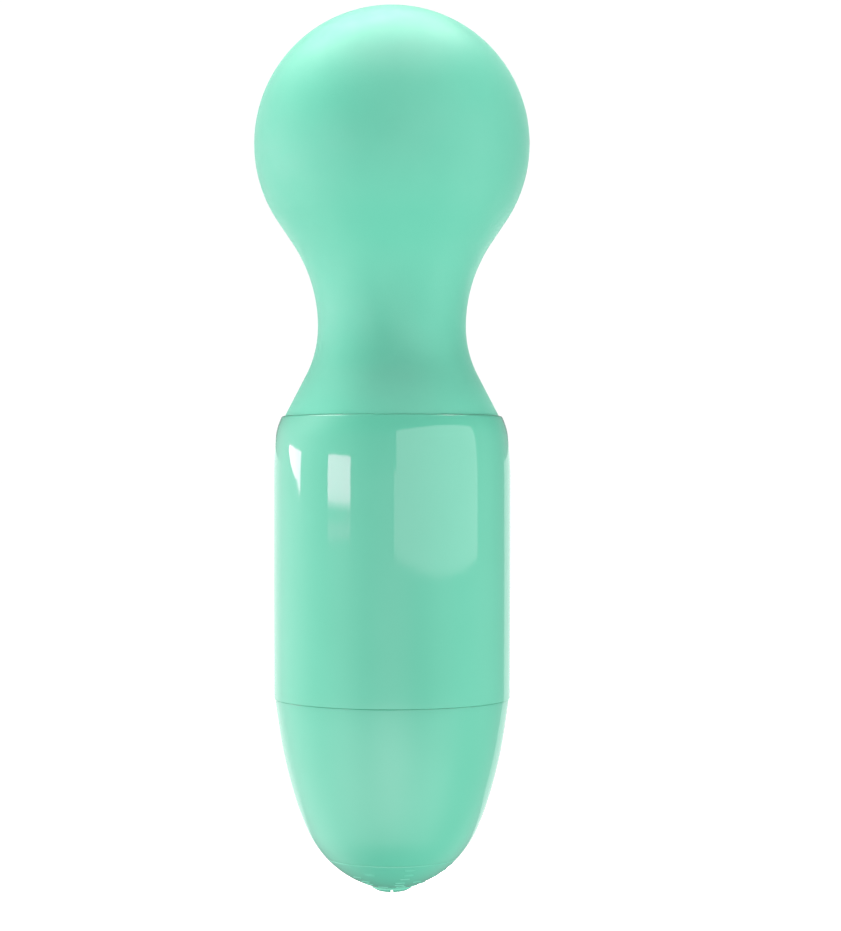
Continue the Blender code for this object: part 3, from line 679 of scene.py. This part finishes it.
def make_head_skin():
    foot_z = UPPER_SEAM_Z + REST_GAP
    bead_top = UPPER_SEAM_Z - LIP_HEIGHT - GAP
    bead_foot = 61.0
    bead_bore = 12.0
    inner_foot_z = foot_z + 0.25
    outer = head_outline(72, 36, foot_z)
    bead = [(LIP_BORE - GAP, foot_z), (LIP_BORE - GAP, bead_top)]
    bead += [(SLEEVE_BORE - GAP, bead_top), (SLEEVE_BORE - GAP, bead_foot)]
    bead.append((bead_bore, bead_foot))
    inner = offset_in(head_outline(40, 20, inner_foot_z), SILICONE_WALL)
    outline = filleted(outer + bead + list(reversed(inner)), False, SKIN_EDGE)
    skin = new_piece("head_skin", turned(outline, False), MATERIALS["mint_silicone"])
    bends_for(skin, "mint_silicone", "head_cover")


def make_neck_parts():
    wire = 0.65
    low = 66.8 + wire
    high = 86.7 - wire
    coil = tube_mesh(helix(5.3, low, high, turns=6.5, per_turn=40), wire, sides=16)
    bends_for(new_piece("neck_coil", coil, MATERIALS["steel"]), "steel", "neck_spring")
    for name, side, slot in (("positive", -1, "red_lead"), ("negative", 1, "black_lead")):
        knots = [(side * 1.6, -6.4, 57.6), (side * 1.6, -6.0, 60.4), (side * 1.5, -2.6, 63.6)]
        knots += [(side * 1.4, -0.2, 67.0), (side * 1.5, 0.7, 72.0), (side * 1.3, -0.5, 78.0)]
        knots += [(side * 1.5, 0.3, 84.0), (side * 2.0, 0, 87.4), (side * 2.2, 0, 88.9)]
        tube = tube_mesh(smooth_route(knots, count=80), LEAD_RADIUS, LEAD_SIDES)
        lead = new_piece("motor_wire_" + name, tube, MATERIALS[slot])
        bends_for(lead, slot, "motor_lead_" + name)


# The handle: glossy sleeve, seal and battery leads.


def make_sleeve():
    lip_foot = UPPER_SEAM_Z - LIP_HEIGHT
    outline = [(LIP_BORE, UPPER_SEAM_Z)] + sleeve_outline()
    outline.append((SLEEVE_BORE, LOWER_SEAM_Z + SEAM_GAP / 2))
    outline += [(SLEEVE_BORE, lip_foot), (LIP_BORE, lip_foot)]
    outline = filleted(outline, True)
    shell = new_piece("sleeve_shell", turned(outline, True), MATERIALS["mint_gloss"])
    stands_for(shell, "handle", "mint_gloss", "handle_sleeve")


def make_seal():
    centre = (12.35, 22.5)
    section = arc(centre, 0.4, 0, 345, steps=23)
    seal = new_piece("seal_ring", turned(section, True), MATERIALS["black_rubber"])
    stands_for(seal, "handle", "black_rubber", "o_ring_seal")


def make_battery_wires():
    for name, side, slot in (("positive", -1, "red_lead"), ("negative", 1, "black_lead")):
        knots = [(side * 4.2, 1.0, 56.5), (side * 4.3, 0.6, 58.6), (side * 4.4, -2.6, 60.3)]
        knots += [(side * 4.6, -6.2, 59.6), (side * 4.7, -7.3, 57.0), (side * 4.7, -7.3, 53.9)]
        tube = tube_mesh(smooth_route(knots, count=50), LEAD_RADIUS, LEAD_SIDES)
        lead = new_piece("battery_wire_" + name, tube, MATERIALS[slot])
        stands_for(lead, "handle", slot, "battery_lead_" + name)


def make_foam_pad():
    """The pad behind the battery: crowned faces, and sides that pull in between the corners."""
    half = Vector((7.0, 0.9, 8.0))
    centre = Vector((0, 5.5, 44.5))
    edge_share = 0.74
    pull = 0.035
    pinch = 0.02
    bm = bmesh.new()
    bmesh.ops.create_cube(bm, size=2.0)
    bmesh.ops.subdivide_edges(bm, edges=bm.edges, cuts=13, use_grid_fill=True)
    for vert in bm.verts:
        a, b, c = vert.co
        crown = edge_share + (1 - edge_share) * (1 - a**4) * (1 - c**4)
        x = half.x * a * (1 - pull * (1 - c**2) - pinch * b**2)
        z = half.z * c * (1 - pull * (1 - a**2) - pinch * b**2)
        vert.co = centre + Vector((x, half.y * b * crown, z))
    pad = new_piece("foam_pad", bm, MATERIALS["foam"])
    stands_for(pad, "handle", "foam", "battery_foam_pad")


# The base: shell, button with its marks, and the button's spring.


def make_base_shell():
    rim_z = LOWER_SEAM_Z - SEAM_GAP / 2
    outer = [(CAP_RADIUS, rim_z)] + cap_outline(steps=28)[1:]
    hole_r = BUTTON_RADIUS + SEAM_GAP
    hole = [(hole_r, button_height(hole_r)), (hole_r, 9.0), (10.0, 9.0)]
    inner = [(10.4, 10.1), (11.1, 12.8), (11.1, 13.3), (11.7, 13.3)]
    inner += [(11.95, 15.4), (CAP_BORE, 18.5)]
    outline = filleted([(CAP_BORE, rim_z)] + outer + hole + inner, True, BASE_EDGE)
    shell = new_piece("base_shell", turned(outline, True), MATERIALS["mint_gloss"])
    stands_for(shell, "base_cap", "mint_gloss", "base_cap")


def box_mesh(low, high):
    """A block between two corners, used only as a cutter."""
    bm = bmesh.new()
    bmesh.ops.create_cube(bm, size=1.0)
    for vert in bm.verts:
        for axis in range(3):
            vert.co[axis] = high[axis] if vert.co[axis] > 0 else low[axis]
    return bm


def ridge_sections(radius, turn):
    """Cross-sections along one ridge, each sunk a little into the dome."""
    half = math.degrees(RIDGE_LENGTH / 2 / radius)
    corners = ((-1, -RIDGE_SINK), (1, -RIDGE_SINK))
    corners += ((RIDGE_TOP_SHARE, RIDGE_HEIGHT), (-RIDGE_TOP_SHARE, RIDGE_HEIGHT))
    sections = []
    for step in range(RIDGE_STEPS + 1):
        angle = math.radians(turn - half + 2 * half * step / RIDGE_STEPS)
        section = []
        for side, proud in corners:
            out = radius + side * RIDGE_WIDTH / 2
            z = button_height(out) - proud
            section.append((out * math.sin(angle), -out * math.cos(angle), z))
        sections.append(section)
    return sections


def ridge_mesh():
    """Short raised ridges in rows on the dome, as plain grip marks."""
    bm = bmesh.new()
    for radius, turns in RIDGE_ROWS:
        for turn in turns:
            sections = ridge_sections(radius, turn)
            skin_rings(bm, [[bm.verts.new(spot) for spot in section] for section in sections])
    return bm


def combine(piece, tool, operation):
    """Adds a tool's solid to a piece or cuts it away, cleans the seams and removes the tool."""
    step = piece.modifiers.new("combine", "BOOLEAN")
    step.operation = operation
    step.solver = "EXACT"
    step.object = tool
    graph = bpy.context.evaluated_depsgraph_get()
    mesh = bpy.data.meshes.new_from_object(piece.evaluated_get(graph))
    piece.modifiers.clear()
    bm = bmesh.new()
    bm.from_mesh(mesh)
    bmesh.ops.remove_doubles(bm, verts=bm.verts, dist=SEAM_WELD * MM)
    bmesh.ops.dissolve_degenerate(bm, edges=bm.edges, dist=WELD * MM)
    bm.to_mesh(mesh)
    bm.free()
    piece.data = mesh
    mesh.set_sharp_from_angle(angle=math.radians(SHARP_DEG))
    bpy.data.objects.remove(tool)


def make_button():
    centre, edge_deg, mark_deg = button_arc()
    stem = [(0, 18.3), (2.0, 18.3), (2.0, 3.3), (4.5, 3.3), (7.6, 6.6), (7.6, 11.2)]
    flange = [(10.1, 11.2), (10.1, 10.2), (BUTTON_RADIUS, 10.2)]
    dome = arc(centre, BUTTON_ARC_RADIUS, -edge_deg, -mark_deg, steps=24)
    mark = [(MARK_RADIUS - 0.05, 0.42), (2.45, 0.28), (2.25, 0.16), (2.05, 0.07)]
    mark += [(1.8, 0.0), (0.9, 0.0), (0.9, 0.35), (0, 0.35)]
    outline = filleted(stem + flange + dome + mark, False, BASE_EDGE)
    button = new_piece("button_dome", turned(outline, False), MATERIALS["mint_gloss"])
    combine(button, new_piece("ridges", ridge_mesh(), None), "UNION")
    low = (-NOTCH / 2, -NOTCH_REACH, -1.0)
    high = (NOTCH / 2, NOTCH_REACH, NOTCH_TOP)
    combine(button, new_piece("notch", box_mesh(low, high), None), "DIFFERENCE")
    stands_for(button, "power_button", "mint_gloss", "power_button")


def make_button_spring():
    wire = 0.25
    low = BUTTON_SPRING_LOW_Z
    high = BUTTON_SPRING_HIGH_Z
    route = helix(2.95, low + wire, high - wire, turns=5.5, per_turn=40)
    coil = tube_mesh(route, wire, sides=12)
    piece = new_piece("button_coil", coil, MATERIALS["steel"])
    stands_for(piece, "base_cap", "steel", "button_spring")
    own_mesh(piece)


# CAD nodes that keep their own shape, under the record's slot of each.
KEPT_NODES = {
    "inner_plastic": (
        "head_frame_front",
        "head_frame_rear",
        "chassis_front",
        "chassis_rear",
        "button_retainer",
    ),
    "black_plastic": (
        "motor_end_cap",
        "microcontroller",
        "motor_driver_chip",
        "charge_controller_chip",
        "board_header",
        "tact_switch",
    ),
    "steel": (
        "head_screw_left",
        "head_screw_right",
        "motor_shaft",
        "eccentric_weight",
        "chassis_screw_1",
        "chassis_screw_2",
        "chassis_screw_3",
        "chassis_screw_4",
    ),
    "nickel": ("motor_can", "charge_socket"),
    "copper": ("armature",),
    "brass": ("motor_bushing", "motor_terminal_left", "motor_terminal_right", "commutator"),
    "ferrite": ("motor_magnet_left", "motor_magnet_right"),
    "circuit_board": ("battery_protection_board", "main_board", "end_board"),
    "black_rubber": ("motor_sleeve", "button_seal"),
    "foil": ("battery_cell",),
    "clear_plastic": ("battery_connector", "status_lamp", "switch_plunger"),
}

# Blocks whose corners get a small rounding.
BLOCK_ROUNDING = 0.12
BLOCK_NODES = (
    "microcontroller",
    "motor_driver_chip",
    "charge_controller_chip",
    "board_header",
    "battery_connector",
    "battery_cell",
    "main_board",
    "end_board",
    "battery_protection_board",
)


def dress_kept_nodes():
    for slot, names in KEPT_NODES.items():
        for name in names:
            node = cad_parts[name]
            node.data.materials.clear()
            node.data.materials.append(MATERIALS[slot])
            if name in BLOCK_NODES:
                rounding = node.modifiers.new("rounding", "BEVEL")
                rounding.width = BLOCK_ROUNDING * MM
                rounding.segments = 2
                rounding.limit_method = "ANGLE"


# Floor, camera and light.

CAMERA_DISTANCE = 320.3
CAMERA_HEIGHT = 58.5
CAMERA_LENS = 91.12
CAMERA_SHIFT = (0.0307, -0.0064)
FLOOR_Z = -9.5
FLOOR_HALF_WIDTH = 6000.0

WHITE = (1.0, 1.0, 1.0, 1.0)
ROSE_WHITE = (1.0, 0.56, 0.78, 1.0)
WARM_WHITE = (1.0, 0.85, 0.92, 1.0)
BLACKNESS = (0.0, 0.0, 0.0, 1.0)


def make_floor():
    """A plain pale floor, clear of the base when it is pulled off downwards."""
    bm = bmesh.new()
    bmesh.ops.create_grid(bm, x_segments=1, y_segments=1, size=FLOOR_HALF_WIDTH)
    bmesh.ops.translate(bm, vec=(0, 0, FLOOR_Z), verts=bm.verts)
    mat, _, shader = new_material("floor")
    shader.inputs["Base Color"].default_value = (0.8, 0.8, 0.8, 1.0)
    shader.inputs["Roughness"].default_value = 0.9
    shader.inputs["Emission Color"].default_value = WHITE
    shader.inputs["Emission Strength"].default_value = 1.05
    floor = new_piece("floor", bm, mat)
    floor.visible_diffuse = False
    floor.visible_glossy = False
    floor.visible_shadow = False


def make_camera():
    camera = bpy.data.objects.new("camera", bpy.data.cameras.new("camera"))
    bpy.context.scene.collection.objects.link(camera)
    camera.data.sensor_width = 36.0
    camera.data.lens = CAMERA_LENS
    camera.data.shift_x, camera.data.shift_y = CAMERA_SHIFT
    camera.data.clip_start = 0.01
    camera.location = (0, -CAMERA_DISTANCE * MM, CAMERA_HEIGHT * MM)
    camera.rotation_euler = (math.radians(90), 0, 0)
    bpy.context.scene.camera = camera


# What the object reflects all round: azimuth, elevation and strength of each soft glow.
GLOW_TIGHTNESS = 10.0
GLOWS = (
    (0, -35, 2.9),
    (-50, -35, 2.3),
    (50, -35, 1.8),
    (-95, -35, 1.4),
    (-125, -35, 0.9),
    (125, -35, 0.6),
    (0, 0, 0.6),
    (-50, 0, 0.9),
    (50, 0, 0.45),
    (-95, 0, 1.0),
    (95, 0, 0.8),
    (-125, 0, 1.1),
    (-150, -8, 0.5),
    (150, -8, 0.6),
    (-95, 35, 2.0),
)
OVERHEAD_GLOW = 1.4
OVERHEAD_TIGHTNESS = 6.0
PLAIN_WHITE = 1.02


def compass(azimuth, elevation):
    """A unit vector away from the object. Azimuth 0 is the front, 90 the right."""
    a = math.radians(azimuth)
    e = math.radians(elevation)
    return Vector((math.sin(a) * math.cos(e), -math.cos(a) * math.cos(e), math.sin(e)))


def arithmetic(tree, operation, first, second):
    return add_node(tree, "ShaderNodeMath", {0: first, 1: second}, operation=operation).outputs[0]


def lobe(tree, direction, azimuth, elevation, strength, tightness):
    """A round soft glow towards one direction."""
    values = {0: direction, 1: compass(azimuth, elevation)}
    product = add_node(tree, "ShaderNodeVectorMath", values, operation="DOT_PRODUCT")
    facing = arithmetic(tree, "MAXIMUM", product.outputs["Value"], 0.0)
    glow = arithmetic(tree, "POWER", facing, tightness)
    return arithmetic(tree, "MULTIPLY", glow, strength)


def make_world():
    """Plain white to the eye, and soft glows where it is reflected. The lamps light the object."""
    world = bpy.data.worlds.new("studio")
    bpy.context.scene.world = world
    world.use_nodes = True
    world.cycles.sampling_method = "NONE"
    tree = world.node_tree
    tree.nodes.clear()
    out = tree.nodes.new("ShaderNodeOutputWorld")
    path = tree.nodes.new("ShaderNodeLightPath")
    direction = tree.nodes.new("ShaderNodeTexCoord").outputs["Generated"]
    total = lobe(tree, direction, 180, 80, OVERHEAD_GLOW, OVERHEAD_TIGHTNESS)
    for azimuth, elevation, strength in GLOWS:
        glow = lobe(tree, direction, azimuth, elevation, strength, GLOW_TIGHTNESS)
        total = arithmetic(tree, "ADD", total, glow)
    mirrored = arithmetic(tree, "MULTIPLY", total, path.outputs["Is Glossy Ray"])
    seen = arithmetic(tree, "MULTIPLY", path.outputs["Is Camera Ray"], PLAIN_WHITE)
    strength = arithmetic(tree, "ADD", mirrored, seen)
    values = {"Color": WHITE, "Strength": strength}
    background = add_node(tree, "ShaderNodeBackground", values)
    tree.links.new(background.outputs[0], out.inputs["Surface"])


def softbox(name, azimuth, elevation, power, distance=600, width=400, height=400):
    """A rectangle of soft light that points at the object's middle and isn't mirrored in it."""
    lamp = bpy.data.lights.new(name, "AREA")
    lamp.shape = "RECTANGLE"
    lamp.size = width * MM
    lamp.size_y = height * MM
    lamp.energy = power
    obj = bpy.data.objects.new(name, lamp)
    bpy.context.scene.collection.objects.link(obj)
    away = compass(azimuth, elevation)
    obj.location = Vector((0, 0, TOTAL_LENGTH / 2 * MM)) + away * distance * MM
    obj.rotation_euler = away.to_track_quat("Z", "Y").to_euler()
    obj.visible_camera = False
    obj.visible_glossy = False


def make_lights():
    softbox("overhead", 0, 88, 8.6, width=600, height=600)
    softbox("front_low", 0, -19, 3.1, height=300)
    softbox("left", -90, 0, 2.5)
    softbox("left_low", -80, -27, 2.4)
    softbox("right_low", 80, -27, 4.3)
    softbox("back", 165, 5, 2.5)


CARD_DISTANCE = 400.0
CEILING_HEIGHT = 520.0

# Cards behind the object, which its edges mirror: name, azimuth, half width and strength.
BACK_CARDS = (("back_left_card", -154, 195, 1.5), ("back_right_card", 158.7, 157, 1.25))


def reflected_panel(name, spots, colour, strength):
    """A glowing flat panel with its corners at the spots, that only glossy surfaces see."""
    bm = bmesh.new()
    bm.faces.new([bm.verts.new(spot) for spot in spots])
    mat, _, shader = new_material(name)
    shader.inputs["Base Color"].default_value = BLACKNESS
    shader.inputs["Emission Color"].default_value = colour
    shader.inputs["Emission Strength"].default_value = strength
    panel = new_piece(name, bm, mat)
    panel.visible_camera = False
    panel.visible_diffuse = False
    panel.visible_shadow = False
    panel.visible_transmission = False


def upright(azimuth, corners):
    """Spots of an upright card square to its azimuth, from corners (across, height)."""
    away = compass(azimuth, 0)
    across = compass(azimuth + 90, 0)
    return [away * CARD_DISTANCE + across * x + Vector((0, 0, z)) for x, z in corners]


def make_reflected_panels():
    """The windows, the screen, the back cards and the ceiling light that the gloss mirrors."""
    sliver = [(-76, 102), (74, 101), (74, 49), (52, 51)]
    sliver += [(25, 54), (-10, 65), (-50, 81), (-76, 94)]
    reflected_panel("side_strip", upright(-107.5, sliver), ROSE_WHITE, strength=11.7)
    window = [(-83, 46.5), (83, 45.5), (83, 108), (-83, 108)]
    reflected_panel("left_window", upright(-51, window), ROSE_WHITE, strength=10.4)
    sill = [(-83, 35), (83, 35), (83, 40), (-83, 40)]
    reflected_panel("left_window_sill", upright(-51, sill), ROSE_WHITE, strength=3.0)
    broad = [(-380, 24), (-283, 23.5), (-126, 23.4), (22, 23.6), (157, 23.4), (380, 23)]
    broad += [(380, 300), (-352, 300), (-352, 85), (-380, 85)]
    reflected_panel("right_screen", upright(45.5, broad), WARM_WHITE, strength=2.7)
    for name, azimuth, half, strength in BACK_CARDS:
        behind = [(-half, -130), (half, -130), (half, 72), (-half, 72)]
        reflected_panel(name, upright(azimuth, behind), WHITE, strength)
    corners = ((-420, 50), (260, 50), (260, 370), (-420, 370))
    ceiling = [Vector((x, y, CEILING_HEIGHT)) for x, y in corners]
    reflected_panel("ceiling_light", ceiling, WHITE, strength=6.3)


make_head_skin()
make_neck_parts()
make_sleeve()
make_seal()
make_battery_wires()
make_foam_pad()
make_base_shell()
make_button()
make_button_spring()
dress_kept_nodes()
make_floor()
make_camera()
make_world()
make_lights()
make_reflected_panels()
bpy.context.scene.view_settings.view_transform = "Standard"
